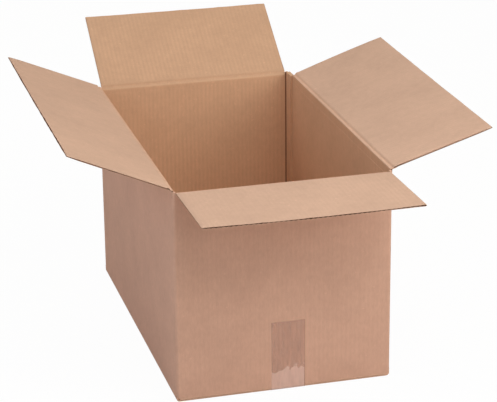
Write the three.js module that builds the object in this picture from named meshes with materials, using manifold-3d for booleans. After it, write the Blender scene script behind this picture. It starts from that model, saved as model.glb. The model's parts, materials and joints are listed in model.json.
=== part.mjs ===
// An open corrugated box, 306 x 500 x 306 mm outside, folded from one kraft board sheet.
// Millimetres, +Z up. The origin is the middle of the footprint, on the surface that the box
// stands on. X runs across the front wall, -Y is the front, and the long walls run along Y.
import * as THREE from 'three';
import * as BufferGeometryUtils from 'three/addons/utils/BufferGeometryUtils.js';
import Module from 'manifold-3d';

const wasm = await Module();
wasm.setup();

// Driving dimensions of the folded box
const WIDTH = 306; // outside, across the front wall
const LENGTH = 500; // outside, along the side walls
const CREASE_HEIGHT = 306; // floor to the crease of the two long flaps
const BOARD = 3; // thickness of the single-wall board
const FOLD_RADIUS = 4.5; // outside radius where the board folds through a right angle

// Flaps
const SEAM_GAP = 6; // between the edges of two long flaps when they are closed
const SHORT_FLAP = 145; // crease to edge, on the front and back walls
const SIDE_CLEARANCE = 1.5; // short flap to the inside of a long wall
const END_CUT = 3; // a long flap stops this far inside the outer face of the end walls
const SLOT_RISE = 1.2; // the bottom slots run this far up past the bottom folds
const STACK_GAP = 0.4; // between the short flaps and the long flaps that cover them

// The angle in degrees above level at which each top flap stands open
const FRONT_ANGLE = 1.1; // degrees
const BACK_ANGLE = 34.5; // degrees
const LEFT_ANGLE = 23.8; // degrees
const RIGHT_ANGLE = 17.5; // degrees

// Creases: the board is nipped to a V, and a flap turns about a line on the outer liner
const CREASE_PLAY = 0.2;
const CREASE_BAND = 9; // the flutes are crushed shut this far from the crease line

// Corrugation
const FLUTE_PITCH = 6.5;
const LINER = 0.4;
const MEDIUM = 0.5;

// Glued joint at the right end of the back wall
const TAB_WIDTH = 27; // from the outer face of the back wall
const TAB_SLOT = 1; // between the tab and the end of the right flaps

// Tape over the bottom seam
const TAPE_WIDTH = 48;
const TAPE_OFFSET = 5; // its middle lies this far to the right of the seam
const TAPE_RISE = 102; // up the front and the back wall
const TAPE_THICKNESS = 0.3;
const TAPE_GLUE = 0.1;

const ARC_STEPS = 5;
const CUT = 1; // how far a cutting block reaches past the board

const halfW = WIDTH / 2;
const halfL = LENGTH / 2;
const longFlap = halfW - SEAM_GAP / 2;
const shortCrease = CREASE_HEIGHT - BOARD - STACK_GAP;
const longBase = TAPE_THICKNESS + TAPE_GLUE;
const shortBase = longBase + BOARD + STACK_GAP;
const cornerBase = longBase + FOLD_RADIUS + SLOT_RISE;
const innerRadius = FOLD_RADIUS - BOARD;
const shortInset = BOARD + SIDE_CLEARANCE;
const tabInset = 2 * BOARD + SIDE_CLEARANCE;
const tabEdge = halfL - TAB_WIDTH;

// Where each flap begins and ends along its crease, as seen from above
const spans = {
  front: [-halfW + shortInset, halfW - shortInset],
  back: [-halfW + shortInset, halfW - tabInset],
  left: [-halfL + END_CUT, halfL - END_CUT],
  right: [-halfL + END_CUT, tabEdge - TAB_SLOT],
};

// Helpers: closed shapes extruded along an axis, and manifold-3d for joining and cutting
function outline(points) {
  return new THREE.Shape(points.map(([x, y]) => new THREE.Vector2(x, y)));
}

function alongZ(shape, low, high) {
  const geometry = new THREE.ExtrudeGeometry(shape, {
    depth: high - low, bevelEnabled: false, curveSegments: ARC_STEPS,
  });
  return geometry.translate(0, 0, low);
}

// The shape's x and y become the part's Y and Z
function alongX(shape, [low, high]) {
  const turn = new THREE.Matrix4().makeBasis(
    new THREE.Vector3(0, 1, 0), new THREE.Vector3(0, 0, 1), new THREE.Vector3(1, 0, 0),
  );
  return alongZ(shape, low, high).applyMatrix4(turn);
}

// The shape's x and y become the part's X and Z
function alongY(shape, [low, high]) {
  const turn = new THREE.Matrix4().makeBasis(
    new THREE.Vector3(1, 0, 0), new THREE.Vector3(0, 0, 1), new THREE.Vector3(0, -1, 0),
  );
  return alongZ(shape, -high, -low).applyMatrix4(turn);
}

function solid(geometry) {
  const bare = geometry.clone();
  bare.deleteAttribute('normal');
  bare.deleteAttribute('uv');
  const merged = BufferGeometryUtils.mergeVertices(bare, 1e-4);
  return new wasm.Manifold(new wasm.Mesh({
    numProp: 3,
    vertProperties: new Float32Array(merged.attributes.position.array),
    triVerts: new Uint32Array(merged.index.array),
  }));
}

function toGeometry(manifold) {
  const mesh = manifold.getMesh();
  const indexed = new THREE.BufferGeometry();
  indexed.setAttribute('position', new THREE.BufferAttribute(mesh.vertProperties, 3));
  indexed.setIndex(new THREE.BufferAttribute(mesh.triVerts, 1));
  const flat = indexed.toNonIndexed();
  flat.computeVertexNormals();
  return flat;
}

function mirrored(points) {
  return points.map(([x, y]) => [-x, y]);
}

// Points of an arc about a centre, from one angle to another in degrees
function arcPoints([cx, cy], radius, from, to) {
  return Array.from({ length: ARC_STEPS + 1 }, (_, step) => {
    const angle = THREE.MathUtils.degToRad(from + (to - from) * step / ARC_STEPS);
    return [cx + radius * Math.cos(angle), cy + radius * Math.sin(angle)];
  });
}

// Seen from above, the sheet runs from the free end of the right wall round to the glued tab,
// which is folded in behind that end
function wallPlan() {
  const wallEnd = halfL - FOLD_RADIUS;
  const outside = [
    [halfW, wallEnd],
    [halfW - BOARD, wallEnd],
    ...arcPoints([halfW - BOARD - FOLD_RADIUS, wallEnd], FOLD_RADIUS, 0, 90).slice(1),
    ...arcPoints([-halfW + FOLD_RADIUS, halfL - FOLD_RADIUS], FOLD_RADIUS, 90, 180),
    ...arcPoints([-halfW + FOLD_RADIUS, -halfL + FOLD_RADIUS], FOLD_RADIUS, 180, 270),
    ...arcPoints([halfW - FOLD_RADIUS, -halfL + FOLD_RADIUS], FOLD_RADIUS, 270, 360),
  ];
  const inset = BOARD + innerRadius;
  const inside = [
    [halfW - BOARD, tabEdge],
    [halfW - 2 * BOARD, tabEdge],
    ...arcPoints([halfW - BOARD - inset, halfL - inset], innerRadius, 0, 90),
    ...arcPoints([-halfW + inset, halfL - inset], innerRadius, 90, 180),
    ...arcPoints([-halfW + inset, -halfL + inset], innerRadius, 180, 270),
    ...arcPoints([halfW - inset, -halfL + inset], innerRadius, 270, 360),
  ];
  const plan = outline(outside);
  plan.holes.push(outline(inside));
  return plan;
}

// A nipped crease leaves the top of a wall falling at 45 degrees towards the inside
function creaseCut(half, top) {
  return [
    [-half - CUT, top + CUT],
    [-half + BOARD + CUT, top - BOARD - CUT],
    [-half + BOARD + CUT, top + CUT],
  ];
}

function creaseWall(half, top, low) {
  return [
    [-half, low],
    [-half + BOARD, low],
    [-half + BOARD, top - BOARD],
    [-half, top],
  ];
}

// Wall, bottom fold and bottom flap in section, for the wall at the negative side
function foldedFlap(half, base, reach, top) {
  const bend = [-half + FOLD_RADIUS, base + FOLD_RADIUS];
  return [
    [-half, top],
    ...arcPoints(bend, FOLD_RADIUS, 180, 270),
    [-half + reach, base],
    [-half + reach, base + BOARD],
    ...arcPoints(bend, innerRadius, 270, 180),
    [-half + BOARD, top],
  ];
}

// The plain block that makes room for a short bottom fold under its wall
function foldRoom(half) {
  return [
    [-half - CUT, cornerBase - CUT],
    [-half + BOARD + CUT, cornerBase - CUT],
    [-half + BOARD + CUT, shortBase + FOLD_RADIUS],
    [-half - CUT, shortBase + FOLD_RADIUS],
  ];
}

// Walls, glued tab and closed bottom flaps: the part of the sheet that stays put
function cartonBody() {
  const shortTop = shortCrease - CREASE_PLAY;
  const longTop = CREASE_HEIGHT - CREASE_PLAY;
  const stripLow = shortTop - BOARD - CUT;
  const foldTop = shortBase + FOLD_RADIUS + CUT;

  let body = solid(alongZ(wallPlan(), cornerBase, shortTop));
  body = body.subtract(solid(alongX(outline(creaseCut(halfL, shortTop)), spans.front)));
  body = body.subtract(solid(alongX(outline(mirrored(creaseCut(halfL, shortTop))), spans.back)));

  const leftTop = creaseWall(halfW, longTop, stripLow);
  body = body.add(solid(alongY(outline(leftTop), spans.left)));
  body = body.add(solid(alongY(outline(mirrored(leftTop)), [spans.right[0], tabEdge + CUT])));
  const tabTop = outline([
    [halfW - 2 * BOARD, tabEdge],
    [halfW, tabEdge],
    [halfW, halfL - FOLD_RADIUS],
    [halfW - 2 * BOARD, halfL - FOLD_RADIUS],
  ]);
  body = body.add(solid(alongZ(tabTop, stripLow, longTop)));

  body = body.subtract(solid(alongX(outline(foldRoom(halfL)), spans.front)));
  body = body.subtract(solid(alongX(outline(mirrored(foldRoom(halfL))), spans.back)));
  const shortFold = foldedFlap(halfL, shortBase, SHORT_FLAP, foldTop);
  const longFold = foldedFlap(halfW, longBase, longFlap, foldTop);
  body = body.add(solid(alongX(outline(shortFold), spans.front)));
  body = body.add(solid(alongX(outline(mirrored(shortFold)), spans.back)));
  body = body.add(solid(alongY(outline(longFold), spans.left)));
  body = body.add(solid(alongY(outline(mirrored(longFold)), spans.right)));
  return toGeometry(body);
}

// The flutes between the liners of a flap, open at its outer edge and shut at the crease.
// The medium zigzags, so the hollows lie base down and base up in turn.
function flutes([low, high], reach) {
  const bottom = LINER;
  const top = BOARD - LINER;
  const halfPitch = FLUTE_PITCH / 2;
  const halfBase = halfPitch - MEDIUM;
  const count = Math.floor((high - low - FLUTE_PITCH) / halfPitch);
  const first = (low + high) / 2 - (count - 1) * halfPitch / 2;
  const hollows = Array.from({ length: count }, (_, index) => {
    const middle = first + index * halfPitch;
    const [base, tip] = index % 2 === 0 ? [bottom, top - MEDIUM] : [top, bottom + MEDIUM];
    const hollow = outline([[middle - halfBase, base], [middle + halfBase, base], [middle, tip]]);
    return alongX(hollow, [CREASE_BAND, reach + CUT]);
  });
  return solid(BufferGeometryUtils.mergeGeometries(hollows));
}

// A flap in its own frame: X from the crease outwards, Y along the crease, and the outer
// liner on Z = 0, which faces down while the flap lies open
function flapGeometry([low, high], reach) {
  const section = outline([
    [CREASE_PLAY, 0],
    [reach, 0],
    [reach, BOARD],
    [CREASE_PLAY + BOARD, BOARD],
  ]);
  return toGeometry(solid(alongY(section, [low, high])).subtract(flutes([low, high], reach)));
}

const kraftOutside = new THREE.MeshStandardMaterial({
  color: '#bd9379', roughness: 0.88, metalness: 0,
});
const kraftInside = new THREE.MeshStandardMaterial({
  color: '#c69f85', roughness: 0.88, metalness: 0,
});
const clearTape = new THREE.MeshStandardMaterial({
  color: '#c4a08c', roughness: 0.3, metalness: 0, transparent: true, opacity: 0.5,
});

// turn faces the flap's own X away from the box; flip says that its Y then runs backwards
function flap(name, span, reach, hinge, turn, flip, open) {
  const range = flip ? [-span[1], -span[0]] : span;
  const mesh = new THREE.Mesh(flapGeometry(range, reach), kraftInside.clone());
  mesh.name = name;
  mesh.rotation.y = -THREE.MathUtils.degToRad(open);
  const arm = new THREE.Group();
  arm.position.set(...hinge);
  arm.rotation.z = THREE.MathUtils.degToRad(turn);
  arm.add(mesh);
  return arm;
}

function topFlaps() {
  const sideX = halfW + CREASE_PLAY;
  const endY = halfL + CREASE_PLAY;
  return [
    flap('flap_front', spans.front, SHORT_FLAP, [0, -endY, shortCrease], -90, false, FRONT_ANGLE),
    flap('flap_back', spans.back, SHORT_FLAP, [0, endY, shortCrease], 90, true, BACK_ANGLE),
    flap('flap_left', spans.left, longFlap, [-sideX, 0, CREASE_HEIGHT], 180, true, LEFT_ANGLE),
    flap('flap_right', spans.right, longFlap, [sideX, 0, CREASE_HEIGHT], 0, false, RIGHT_ANGLE),
  ];
}

// The inner face of the tape over the front bottom edge: down the wall, round the fold as far
// as it can, and straight to the end of the long flaps below
function tapeCorner() {
  const bend = new THREE.Vector2(-halfL + FOLD_RADIUS, shortBase + FOLD_RADIUS);
  const radius = FOLD_RADIUS + TAPE_GLUE;
  const foot = new THREE.Vector2(-halfL + END_CUT - TAPE_GLUE, TAPE_THICKNESS);
  const toFoot = foot.clone().sub(bend);
  const spread = Math.acos(radius / toFoot.length());
  const leave = THREE.MathUtils.radToDeg(toFoot.angle() - spread);
  return [...arcPoints([bend.x, bend.y], radius, 180, leave), [foot.x, foot.y]];
}

// Moves a line of points sideways by a distance, with mitred corners
function beside(points, distance) {
  return points.map((point, index) => {
    const here = new THREE.Vector2(...point);
    const before = new THREE.Vector2(...points[Math.max(index - 1, 0)]);
    const after = new THREE.Vector2(...points[Math.min(index + 1, points.length - 1)]);
    const arrive = here.clone().sub(before).normalize();
    const leave = after.clone().sub(here).normalize();
    if (index === 0) arrive.copy(leave);
    if (index === points.length - 1) leave.copy(arrive);
    const side = new THREE.Vector2(arrive.y + leave.y, -arrive.x - leave.x).normalize();
    const stretch = side.dot(new THREE.Vector2(arrive.y, -arrive.x));
    return [here.x + side.x * distance / stretch, here.y + side.y * distance / stretch];
  });
}

function bottomTape() {
  const front = [[-halfL - TAPE_GLUE, longBase + TAPE_RISE], ...tapeCorner()];
  const inner = [...front, ...mirrored(front).reverse()];
  const outer = beside(inner, TAPE_THICKNESS);
  const section = outline([...inner, ...outer.reverse()]);
  const middle = TAPE_OFFSET;
  const range = [middle - TAPE_WIDTH / 2, middle + TAPE_WIDTH / 2];
  const mesh = new THREE.Mesh(toGeometry(solid(alongX(section, range))), clearTape);
  mesh.name = 'bottom_tape';
  return mesh;
}

const box = new THREE.Group();
const body = new THREE.Mesh(cartonBody(), kraftOutside);
body.name = 'carton_body';
box.add(body, ...topFlaps(), bottomTape());

export default box;
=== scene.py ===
# %% [markdown]
# An open shipping carton of single-wall corrugated board, made in Blender around a fixed CAD
# frame. The real box is one flat sheet: slotted, creased, folded round, glued at one corner and
# taped underneath. Each step below says what a piece is on the real box and why it is made
# the way it is. The frame comes first, because every piece is placed from it.

# %% Load the frame
import json
import math

import bmesh
import bpy
from mathutils import Matrix, Vector, noise


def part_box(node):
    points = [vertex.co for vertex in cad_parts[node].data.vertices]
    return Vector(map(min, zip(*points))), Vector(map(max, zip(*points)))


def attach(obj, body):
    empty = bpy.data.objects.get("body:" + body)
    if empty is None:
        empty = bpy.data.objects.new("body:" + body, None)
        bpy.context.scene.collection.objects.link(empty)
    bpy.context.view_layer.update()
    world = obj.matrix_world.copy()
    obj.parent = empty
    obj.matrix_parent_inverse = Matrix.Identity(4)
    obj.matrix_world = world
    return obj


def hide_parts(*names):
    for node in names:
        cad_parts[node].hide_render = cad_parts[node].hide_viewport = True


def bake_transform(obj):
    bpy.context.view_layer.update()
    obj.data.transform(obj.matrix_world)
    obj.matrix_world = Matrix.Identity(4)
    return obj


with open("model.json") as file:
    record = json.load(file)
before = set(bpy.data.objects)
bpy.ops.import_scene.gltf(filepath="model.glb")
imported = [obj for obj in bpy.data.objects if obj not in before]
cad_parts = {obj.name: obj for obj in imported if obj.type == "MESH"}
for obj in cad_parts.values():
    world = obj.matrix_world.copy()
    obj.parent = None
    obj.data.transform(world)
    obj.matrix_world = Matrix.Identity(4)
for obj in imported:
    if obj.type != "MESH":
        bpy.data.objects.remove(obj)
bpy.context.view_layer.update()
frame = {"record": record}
MM = 0.001

# %% [markdown]
# The box's own sizes. The outside of the walls is read from the frame, and each flap's hinge
# gives its crease and how far it stands open: its positive limit is the flap lying shut, which
# is half a turn from level. The rest are real sizes of the board and of the tape, in
# millimetres.

# %% Sizes of the box, the board and the tape
wall_low, wall_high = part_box("carton_body")
HALF_W = wall_high[0]
HALF_L = wall_high[1]
BOARD = 3.0 * MM
LINER = 0.35 * MM
MEDIUM = 0.35 * MM
FLUTE_PITCH = 6.5 * MM
FOLD_RADIUS = 4.5 * MM
CREASE_PLAY = 0.2 * MM
SHORT_FLAP = 145 * MM
SEAM_GAP = 6 * MM
LONG_FLAP = HALF_W - SEAM_GAP / 2
SIDE_CLEARANCE = 1.5 * MM
END_CUT = 3 * MM
TAB_WIDTH = 27 * MM
TAB_SLOT = 1 * MM
GLUE = 0.1 * MM
STACK_GAP = 0.4 * MM
LONG_BASE = wall_low[2]
SHORT_BASE = LONG_BASE + BOARD + STACK_GAP
CORNER_BASE = LONG_BASE + FOLD_RADIUS + 1.2 * MM

short_inset = BOARD + SIDE_CLEARANCE
tab_inset = 2 * BOARD + SIDE_CLEARANCE
tab_edge = HALF_L - TAB_WIDTH
span_x = (-HALF_W + short_inset, HALF_W - short_inset)
span_x_back = (-HALF_W + short_inset, HALF_W - tab_inset)
span_y = (-HALF_L + END_CUT, HALF_L - END_CUT)
span_y_right = (-HALF_L + END_CUT, tab_edge - TAB_SLOT)

hinges = {}
for joint in frame["record"]["behaviour"]["joints"]:
    opened = math.radians(180 - joint["range_deg"][1])
    hinges[joint["child"]] = (Vector(joint["pos_m"]), opened)
    print(joint["child"], "crease at", joint["pos_m"], "open", round(math.degrees(opened), 1))
LONG_CREASE = hinges["left_flap"][0].z

# %% [markdown]
# The camera stands where the photographer stood. A long lens keeps the box's edges nearly
# parallel. The place was found by matching the box's corners, with the image 497 pixels wide,
# so the focal length in pixels turns into millimetres on a 36 mm sensor.

# %% Camera
CAMERA_TURN = math.radians(-14.95)
CAMERA_RISE = math.radians(20.03)
CAMERA_ROLL = math.radians(-0.60)
CAMERA_REACH = 2951.2 * MM
CAMERA_RIGHT = 15.0 * MM
CAMERA_UP = 178.7 * MM
FOCAL_PIXELS = 1969.0
IMAGE_WIDTH = 497
SENSOR = 36.0


def camera_axes(turn, rise, roll):
    """The camera's right, up and backward directions."""
    back = Vector((
        math.sin(turn) * math.cos(rise),
        -math.cos(turn) * math.cos(rise),
        math.sin(rise),
    ))
    right = Vector((0, 0, 1)).cross(back).normalized()
    up = back.cross(right)
    return (
        right * math.cos(roll) + up * math.sin(roll),
        up * math.cos(roll) - right * math.sin(roll),
        back,
    )


right, up, back = camera_axes(CAMERA_TURN, CAMERA_RISE, CAMERA_ROLL)
lens = bpy.data.cameras.new("studio_lens")
lens.sensor_width = SENSOR
lens.lens = FOCAL_PIXELS * SENSOR / IMAGE_WIDTH
lens.clip_start = 0.1
lens.clip_end = 50
camera = bpy.data.objects.new("studio_camera", lens)
camera.matrix_world = Matrix.Translation(
    right * CAMERA_RIGHT + up * CAMERA_UP + back * CAMERA_REACH
) @ Matrix((right, up, back)).transposed().to_4x4()
bpy.context.collection.objects.link(camera)
bpy.context.scene.camera = camera
print("lens", round(lens.lens, 1), "mm")

# %% [markdown]
# A few helpers serve every material. A colour is written as it looks on a screen, and turned to
# the linear value that the renderer wants. A node is added with its settings and its links in
# one call, and the kinds that come back often have a call of their own.

# %% Helpers for materials


def linear(code):
    """An sRGB hex colour as linear RGBA."""
    shares = [int(code[i:i + 2], 16) / 255 for i in (1, 3, 5)]
    return [s / 12.92 if s <= 0.04045 else ((s + 0.055) / 1.055) ** 2.4 for s in shares] + [1]


def add(tree, kind, settings=None, **inputs):
    """Add a node, set its options, and fill its inputs with values or links."""
    node = tree.nodes.new("ShaderNode" + kind)
    for key, value in (settings or {}).items():
        setattr(node, key, value)
    for key, value in inputs.items():
        place = int(key[1:]) if key[1:].isdigit() else key.replace("_", " ")
        if isinstance(value, bpy.types.NodeSocket):
            tree.links.new(value, node.inputs[place])
        else:
            node.inputs[place].default_value = value
    return node


def calc(tree, operation, *values):
    """A Math node's result for its values or links."""
    inputs = {f"_{place}": value for place, value in enumerate(values)}
    return add(tree, "Math", {"operation": operation}, **inputs).outputs[0]


def remap(tree, value, low, high, to_low, to_high, smooth=False):
    """A value carried from one range to another, straight or with a smooth step."""
    settings = {"interpolation_type": "SMOOTHSTEP"} if smooth else {}
    return add(tree, "MapRange", settings, Value=value, From_Min=low, From_Max=high,
               To_Min=to_low, To_Max=to_high).outputs[0]


def speckle(tree, place, size, detail, **more):
    """A noise value with marks of a given size."""
    return add(tree, "TexNoise", Vector=place, Scale=1 / size, Detail=detail, **more).outputs[0]


def mix_colours(tree, share, first, second):
    """A mix of two colours or links, which a Mix node keeps in its sockets 6 and 7."""
    return add(tree, "Mix", {"data_type": "RGBA"}, _0=share, _6=first, _7=second).outputs[2]


def new_material(name):
    """An empty node material and its output node."""
    material = bpy.data.materials.new(name)
    material.use_nodes = True
    material.node_tree.nodes.clear()
    output = material.node_tree.nodes.new("ShaderNodeOutputMaterial")
    return material, material.node_tree, output


# %% [markdown]
# Kraft liner is unbleached brown paper, pressed smooth but matt. To the eye it gives a warm even
# brown with cloudy patches where the fibres lie thicker, fine flecks of lighter and darker
# fibre, and a washboard of faint lines, because the paper sinks a little between the flutes
# that hold it. The lines are a bump, and their light and shade are also painted into the colour,
# more strongly on the inside back flap and walls, where the light grazes. The lines follow the
# flutes, so each liner is told which axis to count them on.

# %% Kraft liner
CLOUD_SIZE = 70 * MM
PATCH_SIZE = 11 * MM
FIBRE_SIZE = 1.6 * MM  # real fibres are far finer, and wouldn't show at this distance
FIBRE_RUN = (1, 1, 0.25)  # a quarter of the scale in Z draws the fibres out upright
FLECK_SIZE = 5 * MM
LINE_WOBBLE = 0.9 * MM
WASHBOARD_DEPTH = 0.10 * MM
# painted highlight: near each crease the paper is painted paler, for the light its band catches
HIGHLIGHT_FROM = 0.55  # shares of crease_near between which the paper turns paler
HIGHLIGHT_FULL = 0.72
FLAT_FROM = 0.3  # share of crease_near from which the washboard is pressed flat


def kraft_liner(name, colour, painted_highlight_colour, flute_axis, washboard):
    """Kraft liner whose flutes are counted along the X or the Y axis."""
    material, tree, output = new_material(name)
    place = add(tree, "TexCoord").outputs["Object"]
    mark = add(tree, "Attribute", {"attribute_name": "crease_near"}).outputs["Fac"]
    # painted highlight: the share of the paler crease colour
    band = remap(tree, mark, HIGHLIGHT_FROM, HIGHLIGHT_FULL, 0.0, 1.0, smooth=True)
    pressed = remap(tree, mark, 0.0, FLAT_FROM, 1.0, 0.0)
    across = add(tree, "SeparateXYZ", Vector=place).outputs[flute_axis]
    cloud = speckle(tree, place, CLOUD_SIZE, 2.0)
    patch = speckle(tree, place, PATCH_SIZE, 4.0, Roughness=0.6)
    stretched = add(tree, "Mapping", Vector=place, Scale=FIBRE_RUN).outputs[0]
    fibre = speckle(tree, stretched, FIBRE_SIZE, 3.0)
    fleck = speckle(tree, place, FLECK_SIZE, 1.0)

    wobble = calc(tree, "MULTIPLY_ADD", patch, LINE_WOBBLE, across)
    phase = calc(tree, "MULTIPLY", wobble, 2 * math.pi / FLUTE_PITCH)
    wave = calc(tree, "COSINE", phase)
    fade = remap(tree, cloud, 0.35, 0.65, 0.45, 1.0)
    strength = calc(tree, "MULTIPLY", fade, pressed)
    lines = calc(tree, "MULTIPLY", wave, strength)

    shade = remap(tree, cloud, 0.3, 0.7, 0.965, 1.035)
    grain = remap(tree, patch, 0.3, 0.7, 0.97, 1.03)
    hair = remap(tree, fibre, 0.3, 0.7, 0.965, 1.035)
    pale = remap(tree, fleck, 0.70, 0.76, 1.0, 1.08)
    # painted shade: the washboard lines darken and lighten the colour itself
    painted_line_shade = calc(tree, "MULTIPLY_ADD", lines, washboard, 1.0)
    for factor in (grain, hair, pale, painted_line_shade):
        shade = calc(tree, "MULTIPLY", shade, factor)
    plain = mix_colours(tree, band, linear(colour), linear(painted_highlight_colour))
    tinted = add(tree, "VectorMath", {"operation": "SCALE"}, _0=plain, Scale=shade)

    ridge = calc(tree, "MULTIPLY_ADD", lines, 0.5, 0.5)
    fine = calc(tree, "MULTIPLY_ADD", fibre, 0.25, ridge)
    bump = add(tree, "Bump", Strength=1.0, Distance=WASHBOARD_DEPTH, Height=fine)
    surface = add(tree, "BsdfPrincipled", Base_Color=tinted.outputs[0], Roughness=0.85,
                  Normal=bump.outputs[0], Specular_IOR_Level=0.1)
    tree.links.new(surface.outputs[0], output.inputs[0])
    return material


# painted light: the three inside liners are one paper, kept in copies whose colours and painted
# line shade were set to the light on each part; the back flap's and the walls' copies are warmer
kraft = {
    (side, axis): kraft_liner(f"kraft_liner_{side}_flutes_{axis.lower()}", colour, highlight, axis,
                              lines)
    # columns: side, colour, painted highlight colour at the creases, strength of the painted line
    # shade
    for side, colour, highlight, lines in (
        ("outside", "#cfa48c", "#d2aa90", 0.012),
        ("inside_flap", "#cba78e", "#d2ab90", 0.012),
        ("inside_back_flap", "#cca382", "#d1a785", 0.03),
        ("inside_wall", "#d3a986", "#d4ab88", 0.04),
    )
    for axis in ("X", "Y")
}
print("liners", sorted(m.name for m in kraft.values()))

# %% [markdown]
# The fluted medium is rougher and darker than the liners: it is recycled paper, softened with
# steam and pressed into waves. A cut edge runs from about as pale as the liners to paler, and is
# rough, because the knife leaves torn fibres; its paler end is partly painted light, which lifts
# the thin rims out of the shade around them. One fine noise is enough for both, because they show
# only as dots and thin lines.

# %% Fluting medium and cut edges
TORN_SIZE = 0.8 * MM
TORN_DEPTH = 0.1 * MM


def fluting_medium(name, dark, light):
    """Rough brown paper for the medium and the cut edges."""
    material, tree, output = new_material(name)
    place = add(tree, "TexCoord").outputs["Object"]
    torn = speckle(tree, place, TORN_SIZE, 4.0)
    colour = mix_colours(tree, torn, linear(dark), linear(light))
    bump = add(tree, "Bump", Strength=0.6, Distance=TORN_DEPTH, Height=torn)
    surface = add(tree, "BsdfPrincipled", Base_Color=colour, Roughness=0.95,
                  Normal=bump.outputs[0], Specular_IOR_Level=0.15)
    tree.links.new(surface.outputs[0], output.inputs[0])
    return material


medium_paper = fluting_medium("fluting_medium_recycled", "#7c5a44", "#a17b60")
# painted light in part: the pale end of the cut edge's colour
cut_edge = fluting_medium("kraft_liner_cut_edge", "#cda285", "#e6bfa4")

# %% [markdown]
# The operators act on whatever is selected, and the frame's own nodes are selected after
# loading. These helpers clear the selection, pick points by their place, and finish a
# modifier, so that each piece below reads as the steps a modeller would take by hand.

# %% Helpers for modelling


def clear_selection():
    """Leave edit mode and deselect everything."""
    if bpy.context.object and bpy.context.object.mode != "OBJECT":
        bpy.ops.object.mode_set(mode="OBJECT")
    bpy.ops.object.select_all(action="DESELECT")


def select_only(piece):
    """Make a piece the only selected one and the active one."""
    clear_selection()
    bpy.context.view_layer.objects.active = piece
    piece.select_set(True)


def edit(piece):
    """Make a piece the only selected one and enter edit mode."""
    select_only(piece)
    bpy.ops.object.mode_set(mode="EDIT")


def pick(piece, test, mode="VERT"):
    """In edit mode, select the points or faces whose place passes a test."""
    bpy.ops.mesh.select_all(action="DESELECT")
    bpy.ops.mesh.select_mode(type=mode)
    shape = bmesh.from_edit_mesh(piece.data)
    if mode == "FACE":
        for face in shape.faces:
            face.select = test(face.calc_center_median(), face.normal)
    else:
        for point in shape.verts:
            point.select = test(point.co)
        shape.select_flush_mode()
    bmesh.update_edit_mesh(piece.data)


def finish_modifier(piece, kind, **settings):
    """Add a modifier, set it and apply it."""
    select_only(piece)
    modifier = piece.modifiers.new(kind.lower(), kind)
    for key, value in settings.items():
        setattr(modifier, key, value)
    bpy.ops.object.modifier_apply(modifier=modifier.name)


def join(pieces, name):
    """Join several pieces into the first one."""
    clear_selection()
    for piece in pieces:
        piece.select_set(True)
    bpy.context.view_layer.objects.active = pieces[0]
    bpy.ops.object.join()
    pieces[0].name = name
    return pieces[0]


def place_piece(piece, where=(0, 0, 0), turn=(0, 0, 0)):
    """Turn a piece by degrees about X, Y and Z, move it, and bake both into its mesh."""
    select_only(piece)
    piece.rotation_euler = [math.radians(angle) for angle in turn]
    piece.location = where
    bpy.ops.object.transform_apply(location=True, rotation=True, scale=True)


# %% [markdown]
# A sheet is made as a box maker's machine sees it: a strip as long as the crease, run through a
# section one short step at a time. A grid gives the first step with its columns along the
# crease. Its far edge is then extruded from point to point of the section, and Solidify gives the
# paper its thickness.

# %% A sheet along a section
GRID_HALF = 0.5  # a new grid is 1 m wide
GRID_SIDE = 0.49  # a point beyond this lies on one of its sides


def strip(name, section, span, columns):
    """A sheet along Y over a span, following section points in X and Z."""
    clear_selection()
    bpy.ops.mesh.primitive_grid_add(x_subdivisions=1, y_subdivisions=columns, size=1)
    piece = bpy.context.object
    piece.name = name
    low, high = span
    edit(piece)
    bpy.ops.mesh.select_all(action="SELECT")
    bpy.ops.transform.resize(value=(1, high - low, 1), center_override=(0, 0, 0))
    bpy.ops.transform.translate(value=(0, (low + high) / 2, 0))
    start, second = section[0], section[1]
    pick(piece, lambda p: p.x < -GRID_SIDE)
    bpy.ops.transform.translate(value=(start[0] + GRID_HALF, 0, start[1]))
    pick(piece, lambda p: p.x > GRID_SIDE)
    bpy.ops.transform.translate(value=(second[0] - GRID_HALF, 0, second[1]))
    bpy.ops.mesh.select_mode(type="EDGE")
    for here, there in zip(section[1:], section[2:]):
        step = (there[0] - here[0], 0, there[1] - here[1])
        bpy.ops.mesh.extrude_region_move(TRANSFORM_OT_translate={"value": step})
    bpy.ops.object.mode_set(mode="OBJECT")
    return piece


def paper(name, section, span, columns, thickness, flip, materials, offset=-1):
    """A strip with thickness; its materials are for the face, the back and the rim."""
    piece = strip(name, section, span, columns)
    if flip:
        edit(piece)
        bpy.ops.mesh.select_all(action="SELECT")
        bpy.ops.mesh.flip_normals()
        bpy.ops.object.mode_set(mode="OBJECT")
    piece.data.materials.clear()
    for material in materials:
        piece.data.materials.append(material)
    last = len(materials) - 1
    finish_modifier(piece, "SOLIDIFY", thickness=thickness, offset=offset,
                    material_offset=min(1, last), material_offset_rim=min(2, last))
    return piece


# %% [markdown]
# A crease is a line where a wheel has crushed the board before it is folded. The inner liner
# comes straight up the wall and turns over a round shoulder to a nearly level band about 2 mm
# wide. Then it dips to the line that the wheel pressed, and rises to the flap's full thickness.
# The band catches the light, and its colour is also painted paler near every crease and along
# the bottom folds, as a painted highlight, so it shows as a pale line along every flap. The
# section has two lists of points: the wall's part of the inner liner, measured out of and up from
# the crease line, and the flap's part, measured along the flap and up from the outer liner. A drop
# lets the shoulder slope down towards the inside, as on the back crease, whose flap stands
# steepest.

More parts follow.
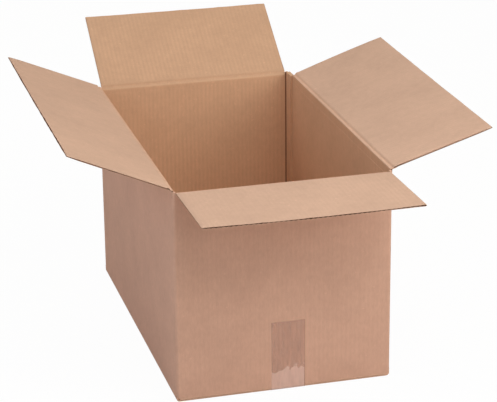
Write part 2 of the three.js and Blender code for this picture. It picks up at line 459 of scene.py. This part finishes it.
# %% The section through a wall, a crease and a flap
SHOULDER = ((-3.0, -1.0), (-2.95, -0.1), (-2.7, 0.55), (-2.2, 0.95), (-1.4, 1.15), (-0.4, 1.2))
SHOULDER_REACH = 3.0
VALLEY = ((0.5, 1.1), (1.0, 1.0), (1.6, 1.2), (2.4, 1.8), (3.3, 2.45), (4.4, 2.88), (5.8, 3.0))
STUB_STOPS = (7.5, 6.0, 4.8, 3.6)
OUTER_STOPS = (2.2, 1.5)
FAR_STEPS = 8
BEND_STEPS = 4
FULL_BOARD = 8.5 * MM
BEND_REACH = 0.8 * MM
CRUSHED_BOARD = 1.0 * MM


def bend_points(start, corner, stop, steps):
    """Points on a smooth bend from start to stop that would meet in a corner."""
    points = []
    for step in range(steps + 1):
        t = step / steps
        points.append(tuple(
            (1 - t) ** 2 * a + 2 * t * (1 - t) * b + t * t * c
            for a, b, c in zip(start, corner, stop)
        ))
    return points


def open_section(stub, reach, opened, drop):
    """Outer and inner liner points from a stub of wall, over the crease, to a flap's edge."""

    def on_flap(along, height):
        return (
            along * math.cos(opened) - height * math.sin(opened),
            along * math.sin(opened) + height * math.cos(opened),
        )

    foot = [-stub] + [-s * MM for s in STUB_STOPS]
    far = [FULL_BOARD + i * (reach - FULL_BOARD) / FAR_STEPS for i in range(FAR_STEPS + 1)]
    outer = [(-CREASE_PLAY, z) for z in foot + [-s * MM for s in OUTER_STOPS]]
    outer += bend_points((-CREASE_PLAY, -BEND_REACH), (-CREASE_PLAY / 2, 0),
                         on_flap(BEND_REACH, 0), BEND_STEPS)
    outer += [on_flap(a * MM, 0) for a, h in VALLEY[1:]]
    inner = [(-BOARD, z) for z in foot]
    inner += [(x * MM, (z + drop * x / SHOULDER_REACH) * MM) for x, z in SHOULDER]
    inner += [on_flap(a * MM, h * MM) for a, h in VALLEY]
    crushed = len(inner)
    outer += [on_flap(a, 0) for a in far]
    inner += [on_flap(a, BOARD) for a in far]
    return outer, inner, crushed


# %% [markdown]
# The medium is one wave of paper copied along the flap. One flute is a small grid whose rows are
# lifted along a sine, the Array modifier repeats it with its ends merged, and two bisects trim it
# to the flap's width. It runs from just past the crease to the cut edge, where it shows. A few
# cuts across it let it bend with the liners, so that it stays between them.

# %% The fluted medium
WAVE_STEPS = 8
WAVE_ROWS = 8
NEAR_POINT = 0.1 * MM
EDGE_INSET = 0.4 * MM


def medium(name, near, far, normal, span):
    """The wave of paper between the liners, from near to far along the flap."""
    low, high = span
    clear_selection()
    bpy.ops.mesh.primitive_grid_add(x_subdivisions=1, y_subdivisions=WAVE_STEPS, size=1)
    piece = bpy.context.object
    piece.name = name
    edit(piece)
    bpy.ops.mesh.select_all(action="SELECT")
    bpy.ops.transform.resize(value=(1, FLUTE_PITCH, 1), center_override=(0, 0, 0))
    height = (BOARD - 2 * LINER - MEDIUM) / 2
    for row in range(WAVE_STEPS + 1):
        y = FLUTE_PITCH * (row / WAVE_STEPS - 0.5)
        lift = height * math.cos(2 * math.pi * row / WAVE_STEPS)
        pick(piece, lambda p: abs(p.y - y) < NEAR_POINT)
        bpy.ops.transform.translate(value=(normal[0] * lift, 0, normal[1] * lift))
    pick(piece, lambda p: p.x < -GRID_SIDE)
    bpy.ops.transform.translate(value=(near[0] + GRID_HALF, 0, near[1]))
    pick(piece, lambda p: p.x > GRID_SIDE)
    bpy.ops.transform.translate(value=(far[0] - GRID_HALF, 0, far[1]))
    bpy.ops.object.mode_set(mode="OBJECT")
    count = math.ceil((high - low) / FLUTE_PITCH) + 1
    finish_modifier(piece, "ARRAY", count=count, use_relative_offset=False,
                    use_constant_offset=True, constant_offset_displace=(0, FLUTE_PITCH, 0),
                    use_merge_vertices=True, merge_threshold=0.01 * MM)
    edit(piece)
    bpy.ops.mesh.select_all(action="SELECT")
    middle = (low + high) / 2 - (count - 1) * FLUTE_PITCH / 2
    bpy.ops.transform.translate(value=(0, middle, 0))
    for y, facing in ((low, -1), (high, 1)):
        bpy.ops.mesh.select_all(action="SELECT")
        bpy.ops.mesh.bisect(plane_co=(0, y, 0), plane_no=(0, facing, 0), clear_outer=True)
    out = Vector((far[0] - near[0], 0, far[1] - near[1]))
    for row in range(1, WAVE_ROWS):
        bpy.ops.mesh.select_all(action="SELECT")
        cut = Vector((near[0], 0, near[1])) + out * row / WAVE_ROWS
        bpy.ops.mesh.bisect(plane_co=cut, plane_no=out.normalized())
    bpy.ops.object.mode_set(mode="OBJECT")
    finish_modifier(piece, "SOLIDIFY", thickness=MEDIUM, offset=0)
    piece.data.materials.clear()
    piece.data.materials.append(medium_paper)
    return piece


def middle_line(outer, inner):
    """Points half way between two lines of points."""
    return [((a[0] + b[0]) / 2, (a[1] + b[1]) / 2) for a, b in zip(outer, inner)]


# %% [markdown]
# Each top flap is one piece of board with the crease and a stub of its wall, so the liner runs
# over the crease unbroken. It is modelled facing +X with its crease on the Y axis, then turned and
# moved to its own wall. The crease bends between the carton and the flap, and the stub's
# lower edge meets the wall where the pressed band has ended. The knives leave the cut edges
# thinner than the board, the outer edge unevenly so, and each flap is bent a little.

# %% Top flaps
STUB_FOOT = LONG_CREASE - 12 * MM
COLUMN = 13 * MM
MARK_REACH = 8.5 * MM
PINCH_REACH = 1.6 * MM
PINCH_START = FULL_BOARD - 2.5 * MM
PINCH = 0.5
BACK_DROP = 2.4
EDGE_CRUSH = 0.26
EDGE_UNEVEN = 0.5
EDGE_REACH = 2 * MM
NOISE_STEP = 0.83
NOISE_ROW = 0.5


def move_points(piece, move):
    """In edit mode, move every point of a piece by a rule, as a modeller would pull it."""
    edit(piece)
    shape = bmesh.from_edit_mesh(piece.data)
    for point in shape.verts:
        point.co += Vector(move(point.co))
    bmesh.update_edit_mesh(piece.data)
    bpy.ops.object.mode_set(mode="OBJECT")


def mark_crease(piece, height):
    """Write on each point how near it lies to a crease at X = 0, from 0 to 1."""
    near = piece.data.attributes.new("crease_near", "FLOAT", "POINT")
    for point, value in zip(piece.data.vertices, near.data):
        distance = math.hypot(point.co.x, point.co.z - height)
        value.value = max(0, 1 - distance / MARK_REACH)


def flap_axes(opened):
    """The directions along a flap and out of its face, before it is turned to its wall."""
    return (
        Vector((math.cos(opened), 0, math.sin(opened))),
        Vector((-math.sin(opened), 0, math.cos(opened))),
    )


def pinch_sides(piece, span, opened):
    """Draw the liners together at both side edges, as the knife leaves them."""
    edit(piece)
    for y in (span[0] + PINCH_REACH, span[1] - PINCH_REACH):
        bpy.ops.mesh.select_all(action="SELECT")
        bpy.ops.mesh.bisect(plane_co=(0, y, 0), plane_no=(0, 1, 0))
    along, normal = flap_axes(opened)

    def move(p):
        at_edge = p.y < span[0] + NEAR_POINT or p.y > span[1] - NEAR_POINT
        if not at_edge or p.dot(along) < PINCH_START:
            return (0, 0, 0)
        return normal * (BOARD / 2 - p.dot(normal)) * PINCH

    move_points(piece, move)


def crush_edge(piece, span, reach, opened):
    """Press the outer edge thinner by an uneven share, as the slotting knives leave it."""
    along, normal = flap_axes(opened)
    step = (span[1] - span[0]) / round((span[1] - span[0]) / COLUMN)

    def share(y):
        t = (y - span[0]) / step
        start = math.floor(t) * NOISE_STEP
        here = noise.noise(Vector((start, reach / MM, NOISE_ROW)))
        there = noise.noise(Vector((start + NOISE_STEP, reach / MM, NOISE_ROW)))
        return EDGE_CRUSH + EDGE_UNEVEN * (here + (there - here) * (t - math.floor(t)))

    def move(p):
        if p.dot(along) < reach - EDGE_REACH:
            return (0, 0, 0)
        return normal * (BOARD / 2 - p.dot(normal)) * share(p.y)

    move_points(piece, move)


def warp(piece, span, reach, opened, sag):
    """Bend a flap a little: sag gives the lift in mm at a share across and a share out."""
    along, normal = flap_axes(opened)

    def move(p):
        out = min(max(p.dot(along) / reach, 0), 1)
        across = (p.y - span[0]) / (span[1] - span[0])
        return normal * sag(across, out) * MM

    move_points(piece, move)


def board_flap(name, stub, reach, opened, span, flute_axis, inside, drop):
    """Outer liner, inner liner, crushed core and fluted medium of one flap."""
    columns = round((span[1] - span[0]) / COLUMN)
    outer, inner, crushed = open_section(stub, reach, opened, drop)
    outside = kraft["outside", flute_axis]
    under = paper(name + "_under", outer, span, columns, LINER, True,
                  [outside, outside, cut_edge])
    over = paper(name + "_over", inner, span, columns, LINER, False,
                 [kraft[inside, flute_axis], kraft["inside_wall", flute_axis], cut_edge])
    for face in over.data.polygons:
        if face.material_index == 0 and face.center.z < 0:
            face.material_index = 1
    line = middle_line(outer, inner)
    core = paper(name + "_core", line[:crushed], span, columns,
                 CRUSHED_BOARD - 2 * LINER, False, [medium_paper], offset=0)
    normal = (-math.sin(opened), math.cos(opened))
    along = (math.cos(opened), math.sin(opened))
    start = line[crushed - 1]
    far = (line[-1][0] - along[0] * EDGE_INSET, line[-1][1] - along[1] * EDGE_INSET)
    wave = medium(name + "_wave", start, far, normal, span)
    return join([over, under, core, wave], name)


def bow(across):
    """1 at the middle of a flap's length, 0 at both ends."""
    return math.sin(math.pi * min(max(across, 0), 1))


def mirrored(span):
    """The same span counted from the other end, for a piece that is turned half round."""
    return -span[1], -span[0]


FRONT_SAG = 1.6
BACK_SAG = 0.6
LEFT_SAG = 1.0
LEFT_FAR_DROP = 2.0
RIGHT_FAR_LIFT = 3.6
RIGHT_NEAR_DROP = 0.8
SAGS = {
    "front_flap": lambda across, out: -FRONT_SAG * bow(across) * out ** 2,
    "back_flap": lambda across, out: -BACK_SAG * bow(across) * out ** 2,
    "left_flap": lambda across, out: (
        -LEFT_SAG * bow(across) * out ** 2 - LEFT_FAR_DROP * (1 - across) ** 2 * out
    ),
    "right_flap": lambda across, out: (
        RIGHT_FAR_LIFT * across ** 2 * out * (2 - out) - RIGHT_NEAR_DROP * (1 - across) * out
    ),
}
flaps = {}
for body, name, turn, span, reach, axis, inside, drop in (
    ("front_flap", "front_flap_board", -90, span_x, SHORT_FLAP, "X", "inside_flap", 0),
    # the back flap takes its own copy of the inside liner, coloured as painted light
    ("back_flap", "back_flap_board", 90, mirrored(span_x_back), SHORT_FLAP, "X",
     "inside_back_flap", BACK_DROP),
    ("left_flap", "left_flap_board", 180, mirrored(span_y), LONG_FLAP, "Y", "inside_flap", 0),
    ("right_flap", "right_flap_board", 0, span_y_right, LONG_FLAP, "Y", "inside_flap", 0),
):
    hinge, opened = hinges[body]
    piece = board_flap(name, hinge.z - STUB_FOOT, reach, opened, span, axis, inside, drop)
    crush_edge(piece, span, reach, opened)
    pinch_sides(piece, span, opened)
    warp(piece, span, reach, opened, SAGS[body])
    mark_crease(piece, 0)
    place_piece(piece, hinge, (0, 0, turn))
    flaps[body] = piece
    print(name, len(piece.data.vertices), "points")

# %% [markdown]
# The walls are one sheet too: it starts at the free end of the right wall, runs round the front,
# left and back walls, and ends in the glue tab inside the right wall. Seen from above it
# is a line of points with an arc at each fold, so the same strip tool makes it standing on its
# side, and a quarter turn stands it up. The corners then rise to the level of the creases,
# between the flaps' slots, and drop to the bottom slots.

# %% Walls and glue tab
ARC_STEPS = 10
LONG_BREAKS = 30
SHORT_BREAKS = 20
WALL_ROWS = 12
WALL_FOOT = 12 * MM
CORNER_DROP = 1 * MM
SLOT_ARC = math.radians(18)  # the share of a corner's fold that the flaps' slots leave


def arc(centre, radius, start, stop):
    """Points on an arc in plan, angles in degrees."""
    points = []
    for step in range(ARC_STEPS + 1):
        angle = math.radians(start + (stop - start) * step / ARC_STEPS)
        x = centre[0] + radius * math.cos(angle)
        y = centre[1] + radius * math.sin(angle)
        points.append((x, y))
    return points


def line_to(start, stop, breaks):
    """Points between two corners of the plan, both left out."""
    points = []
    for i in range(1, breaks):
        x = start[0] + (stop[0] - start[0]) * i / breaks
        y = start[1] + (stop[1] - start[1]) * i / breaks
        points.append((x, y))
    return points


def wall_plan():
    """The outer face of the sheet from above, from the right wall's end to the tab's edge."""
    bend_x = HALF_W - FOLD_RADIUS
    bend_y = HALF_L - FOLD_RADIUS
    tab_face = HALF_W - BOARD - GLUE
    tab_bend = tab_face - FOLD_RADIUS
    slot = tab_edge - TAB_SLOT
    plan = [(HALF_W, bend_y), (HALF_W, slot)]
    plan += line_to(plan[-1], (HALF_W, -bend_y), LONG_BREAKS)
    plan += arc((bend_x, -bend_y), FOLD_RADIUS, 0, -90)
    plan += line_to(plan[-1], (-bend_x, -HALF_L), SHORT_BREAKS)
    plan += arc((-bend_x, -bend_y), FOLD_RADIUS, -90, -180)
    plan += line_to(plan[-1], (-HALF_W, bend_y), LONG_BREAKS)
    plan += arc((-bend_x, bend_y), FOLD_RADIUS, 180, 90)
    plan += line_to(plan[-1], (tab_bend, HALF_L), SHORT_BREAKS)
    plan += arc((tab_bend, bend_y), FOLD_RADIUS, 90, 0)
    plan += [(tab_face, tab_edge)]
    return plan


def is_corner(p):
    """Whether a point of the walls lies between the slots of a corner."""
    arc_end = HALF_L - FOLD_RADIUS + FOLD_RADIUS * math.sin(SLOT_ARC) - 0.01 * MM
    if abs(p.y) < arc_end:
        return False
    right_end = HALF_W - tab_inset if p.y > 0 else HALF_W - short_inset
    return p.x < -HALF_W + short_inset or p.x > right_end


def is_joint(p):
    """Whether a point lies on the glued joint, past the end of the right flaps."""
    return p.x > HALF_W - 2 * BOARD - 2 * GLUE and p.y > tab_edge - TAB_SLOT


def raise_faces(piece, test, facing, distance):
    """Extrude the edge faces that pass a test, up or down."""
    edit(piece)
    pick(piece, lambda p, n: n.z * facing > 0.9 and test(p), "FACE")
    bpy.ops.mesh.extrude_region_move(
        TRANSFORM_OT_translate={"value": (0, 0, facing * distance)}
    )
    bpy.ops.object.mode_set(mode="OBJECT")


walls = paper("carton_walls", [(x, -y) for x, y in wall_plan()], (WALL_FOOT, STUB_FOOT),
              WALL_ROWS, BOARD, True, [kraft["outside", "X"]])
place_piece(walls, turn=(90, 0, 0))
raise_faces(walls, lambda p: is_corner(p) and not is_joint(p), 1,
            LONG_CREASE - CORNER_DROP - STUB_FOOT)
raise_faces(walls, is_joint, 1, LONG_CREASE - CREASE_PLAY - STUB_FOOT)
raise_faces(walls, lambda p: is_corner(p) or is_joint(p), -1, WALL_FOOT - CORNER_BASE)
print("walls", len(walls.data.vertices), "points")

# %% [markdown]
# The liner that a face shows depends on where it points: away from the box is the outside
# liner, and the flutes are counted along the wall that the face lies on. Edges that a knife
# has cut show torn paper. The inside of the glue tab's tight fold is painted dark, as painted
# shade for the groove of the fold.

# %% Faces of the walls
tab_fold = (HALF_W - BOARD - GLUE - FOLD_RADIUS, HALF_L - FOLD_RADIUS)
# painted shade: dark paper for the inside of the glue tab's fold
fold_shade_paper = fluting_medium("kraft_liner_painted_fold_shade", "#73503a", "#8c6449")


def dress_walls(piece):
    """Give each face of the walls its liner by its place and its normal."""
    outside_x, outside_y, inside_x, inside_y, torn, painted_fold_shade = range(6)
    piece.data.materials.clear()
    for material in (kraft["outside", "X"], kraft["outside", "Y"], kraft["inside_wall", "X"],
                     kraft["inside_wall", "Y"], cut_edge, fold_shade_paper):
        piece.data.materials.append(material)
    for face in piece.data.polygons:
        n, c = face.normal, face.center
        sideways = abs(n.x) > abs(n.y)
        outward = n.x * c.x > 0 if sideways else n.y * c.y > 0
        if abs(n.z) > 0.7:
            face.material_index = inside_y if is_joint(c) else torn
        elif sideways:
            face.material_index = outside_y if outward else inside_y
        else:
            face.material_index = outside_x if outward else inside_x
        if sideways and is_joint(c) and abs(c.x) < HALF_W - BOARD / 2:
            face.material_index = inside_y
        # painted shade on the inner round of the tab's fold
        beyond = c.x > tab_fold[0] and c.y > tab_fold[1]
        if beyond and math.hypot(c.x - tab_fold[0], c.y - tab_fold[1]) < FOLD_RADIUS / 2:
            face.material_index = painted_fold_shade


dress_walls(walls)

# %% [markdown]
# The bottom is closed by the same kind of flap, folded in through a right angle: the two short
# ones first, and the two long ones under them, meeting at the seam along the middle. A plain
# inward fold keeps the full thickness, with the outer liner on a round of 4.5 mm. The short
# flaps' folds are tighter and hang a little lower, in front of the long flaps' cut ends.

# %% Bottom flaps
BOTTOM_CUT = 3 * MM
FOLD_DIP = 1.6 * MM
TIGHT_RADIUS = 3.1 * MM
FOLD_STOPS = (8, 6)


def closed_section(foot, base, reach, radius, dip):
    """Outer face from a wall, round the bottom fold, to a flap's edge."""
    outer = [(0, foot)] + [(0, base + s * MM) for s in FOLD_STOPS]
    for step in range(ARC_STEPS + 1):
        angle = math.pi / 2 * step / ARC_STEPS
        outer.append((
            -radius + radius * math.cos(angle),
            base - dip + radius - radius * math.sin(angle),
        ))
    outer += [
        (-radius - (reach - radius) * step / FAR_STEPS, base)
        for step in range(1, FAR_STEPS + 1)
    ]
    return outer


def bottom_flap(name, base, reach, span, flute_axis, radius, dip):
    """A closed bottom flap with its stub of wall, modelled at the wall facing +X."""
    columns = round((span[1] - span[0]) / COLUMN)
    section = closed_section(WALL_FOOT, base, reach, radius, dip)
    flap = paper(name, section, span, columns, BOARD, False,
                 [kraft["outside", flute_axis], kraft["inside_wall", flute_axis], cut_edge])
    # painted highlight: the bottom fold's band is painted paler too
    mark_crease(flap, base - dip)
    return flap


bottom_y = (-HALF_L + BOTTOM_CUT, HALF_L - BOTTOM_CUT)
bottom_y_right = (-HALF_L + BOTTOM_CUT, tab_edge - TAB_SLOT)
bottoms = []
for name, turn, where, span, base, reach, axis, radius, dip in (
    ("bottom_front", -90, (0, -HALF_L, 0), span_x, SHORT_BASE, SHORT_FLAP, "X", TIGHT_RADIUS,
     FOLD_DIP),
    ("bottom_back", 90, (0, HALF_L, 0), mirrored(span_x_back), SHORT_BASE, SHORT_FLAP, "X",
     TIGHT_RADIUS, FOLD_DIP),
    ("bottom_left", 180, (-HALF_W, 0, 0), mirrored(bottom_y), LONG_BASE, LONG_FLAP, "Y",
     FOLD_RADIUS, 0),
    ("bottom_right", 0, (HALF_W, 0, 0), bottom_y_right, LONG_BASE, LONG_FLAP, "Y",
     FOLD_RADIUS, 0),
):
    piece = bottom_flap(name, base, reach, span, axis, radius, dip)
    place_piece(piece, where, (0, 0, turn))
    bottoms.append(piece)
sheet = join([walls] + bottoms, "carton_sheet")
print("carton sheet", len(sheet.data.vertices), "points")

# %% [markdown]
# Shading is smooth across the folds and sharp at the cut edges.

# %% Smooth the folds


def smooth(piece, degrees):
    """Smooth shading below an angle, sharp above it."""
    select_only(piece)
    bpy.ops.object.shade_smooth_by_angle(angle=math.radians(degrees))


for piece in [sheet] + list(flaps.values()):
    smooth(piece, 35)

# %% [markdown]
# Clear packing tape is a thin plastic film. Where its glue has wetted the paper it looks a
# shade darker and smoother than the bare board, and where it has only half stuck, near the
# bottom fold, it looks milky and paler. Both show in one material by height, with a ragged
# border between them. The strip goes down the front, turns under over the folds and the long
# flaps' ends without following each of them, and comes up the back.

# %% Packing tape
TAPE_BORDER = 31 * MM
TAPE_SLANT = 10 / 48
STREAK_SIZE = 5 * MM
RIPPLE_SIZE = 9 * MM
RAG_SIZE = 7 * MM
RAG_HEIGHT = 30 * MM
RAG_LOW = 14 * MM  # the ragged noise lifts the border by about half its height
RAG_HIGH = 17 * MM
# painted shade: the band along the tape's right edge where its colour darkens
EDGE_SHADE_START = 1.2 * MM
EDGE_SHADE_FULL = 0.6 * MM
TAPE_LIFT = 0.15 * MM
TAPE_THICKNESS = 0.1 * MM
TAPE_COLUMNS = 6
TAPE_TURN = ((0.0, 4.9), (0.15, 3.2), (0.9, 1.6), (2.4, 0.5), (4.0, 0.03))


def tape_film(name, border, middle, half):
    """Clear film: wetted above a border height, milky below it, with painted shade along its right
    edge.
    """
    material, tree, output = new_material(name)
    place = add(tree, "TexCoord").outputs["Object"]
    split = add(tree, "SeparateXYZ", Vector=place)
    streak_place = add(tree, "Mapping", Vector=place, Scale=(1, 1, 0.2)).outputs[0]
    streak = speckle(tree, streak_place, STREAK_SIZE, 5.0)
    rag = speckle(tree, place, RAG_SIZE, 6.0)
    sideways = calc(tree, "SUBTRACT", split.outputs["X"], middle)
    slanted = calc(tree, "MULTIPLY_ADD", sideways, -TAPE_SLANT, split.outputs["Z"])
    ragged = calc(tree, "MULTIPLY_ADD", rag, RAG_HEIGHT, slanted)
    milky = remap(tree, ragged, border + RAG_LOW, border + RAG_HIGH, 1.0, 0.0, smooth=True)
    # painted shade: a dark line at the film's right edge, where its cut side would shade
    edge = remap(tree, sideways, half - EDGE_SHADE_START, half - EDGE_SHADE_FULL, 0.0, 1.0)
    body = mix_colours(tree, milky, linear("#c29b87"), linear("#ddb9a7"))
    film_colour = mix_colours(tree, edge, body, linear("#a8775f"))
    grain = remap(tree, streak, 0.35, 0.65, 0.22, 0.36)
    cover = calc(tree, "MULTIPLY_ADD", milky, 0.40, grain)
    shadow = add(tree, "LightPath").outputs["Is Shadow Ray"]
    lit = calc(tree, "SUBTRACT", 1.0, shadow)
    alpha = calc(tree, "MULTIPLY", cover, lit)
    ripple = speckle(tree, streak_place, RIPPLE_SIZE, 2.0)
    bump = add(tree, "Bump", Strength=0.5, Distance=0.15 * MM, Height=ripple)
    surface = add(tree, "BsdfPrincipled", Base_Color=film_colour, Roughness=0.4,
                  IOR=1.49, Alpha=alpha, Normal=bump.outputs[0])
    tree.links.new(surface.outputs[0], output.inputs[0])
    return material


tape_low, tape_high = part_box("bottom_tape")
tape_middle = (tape_low[0] + tape_high[0]) / 2
tape_half = (tape_high[0] - tape_low[0]) / 2
film = tape_film("packing_tape_clear_film", TAPE_BORDER, tape_middle, tape_half)
half_path = [(HALF_L + TAPE_LIFT, tape_high[2])]
half_path += [(HALF_L + TAPE_LIFT - x * MM, z * MM) for x, z in TAPE_TURN]
path = half_path + [(-x, z) for x, z in reversed(half_path)]
tape = paper("bottom_tape_film", path, (tape_low[0], tape_high[0]), TAPE_COLUMNS,
             TAPE_THICKNESS, False, [film])
place_piece(tape, turn=(0, 0, -90))
smooth(tape, 50)
print("tape", round(tape_half * 2 / MM, 1), "mm wide")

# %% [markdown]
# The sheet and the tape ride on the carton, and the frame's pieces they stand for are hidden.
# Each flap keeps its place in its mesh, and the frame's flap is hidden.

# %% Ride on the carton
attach(sheet, "carton")
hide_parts("carton_body")
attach(tape, "carton")
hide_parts("bottom_tape")
for body, piece in flaps.items():
    hinge, opened = hinges[body]
    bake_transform(piece)
    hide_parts("flap_" + body.split("_")[0])

# %% [markdown]
# The studio is a white sheet under four soft lamps, as for a catalogue cut-out. Rays that come
# from the camera, straight, mirrored or through the tape, see the floor and the background
# nearly plain white, and the floor keeps a faint shadow. One lamp stands high behind the box and
# one at its right, a small one hangs above the front, and a cooler one stands at the left. The
# world adds only a little light, so the inside falls off with depth.

# %% Floor, world and lamps
FLOOR_DROP = 0.2 * MM
FLOOR_SIZE = 12
CAMERA_WHITE = 0.97
WORLD_LIGHT = 0.08
LAMP_TARGET = Vector((0, 0, 0.2))


def shown(tree):
    """1 for rays that show the studio to the camera: straight, mirrored or through a film."""
    path = add(tree, "LightPath").outputs
    either = calc(tree, "MAXIMUM", path["Is Camera Ray"], path["Is Glossy Ray"])
    return calc(tree, "MAXIMUM", either, path["Is Transmission Ray"])


def floor_white(name):
    """White floor that is mostly plain white to the camera, and a real surface to the light."""
    material, tree, output = new_material(name)
    share = calc(tree, "MULTIPLY", shown(tree), CAMERA_WHITE)
    matt = add(tree, "BsdfDiffuse", Color=linear("#f4f2ef"))
    glow = add(tree, "Emission", Color=(1, 1, 1, 1), Strength=1.0)
    mix = add(tree, "MixShader", _0=share, _1=matt.outputs[0], _2=glow.outputs[0])
    tree.links.new(mix.outputs[0], output.inputs[0])
    return material


clear_selection()
bpy.ops.mesh.primitive_plane_add(size=FLOOR_SIZE, location=(0, 0, -FLOOR_DROP))
floor = bpy.context.object
floor.name = "studio_floor"
floor.data.materials.append(floor_white("studio_white_paper"))

world = bpy.data.worlds.new("studio_world")
bpy.context.scene.world = world
world.use_nodes = True
sky_tree = world.node_tree
sky_tree.nodes.clear()
strength = remap(sky_tree, shown(sky_tree), 0.0, 1.0, WORLD_LIGHT, 1.0)
sky = add(sky_tree, "Background", Color=(1, 1, 1, 1), Strength=strength)
world_out = sky_tree.nodes.new("ShaderNodeOutputWorld")
sky_tree.links.new(sky.outputs[0], world_out.inputs[0])


def soft_lamp(name, size, power, where, target, colour):
    """A square area lamp that looks at a point."""
    lamp = bpy.data.lights.new(name, "AREA")
    lamp.size = size
    lamp.energy = power
    lamp.color = linear(colour)[:3]
    holder = bpy.data.objects.new(name, lamp)
    holder.location = where
    aim = Vector(target) - Vector(where)
    holder.rotation_euler = aim.to_track_quat("-Z", "Y").to_euler()
    bpy.context.collection.objects.link(holder)
    return holder


def lamp_place(rise, turn, reach):
    """A place in degrees above the floor and round from the front, and metres away."""
    e, a = math.radians(rise), math.radians(turn)
    way = Vector((math.sin(a) * math.cos(e), -math.cos(a) * math.cos(e), math.sin(e)))
    return LAMP_TARGET + way * reach


for name, rise, turn, reach, size, power, colour in (
    ("back_softbox", 50, 180, 2.6, 1.6, 28, "#fffaf4"),
    ("right_softbox", 26, 40, 2.6, 1.6, 29, "#ffffff"),
    ("front_softbox", 52, 8, 1.5, 1.0, 10, "#ffffff"),
    ("left_softbox", 25, -77, 2.6, 1.6, 23, "#e9f1ff"),
):
    soft_lamp(name, size, power, lamp_place(rise, turn, reach), LAMP_TARGET, colour)

scene = bpy.context.scene
scene.view_settings.view_transform = "Standard"
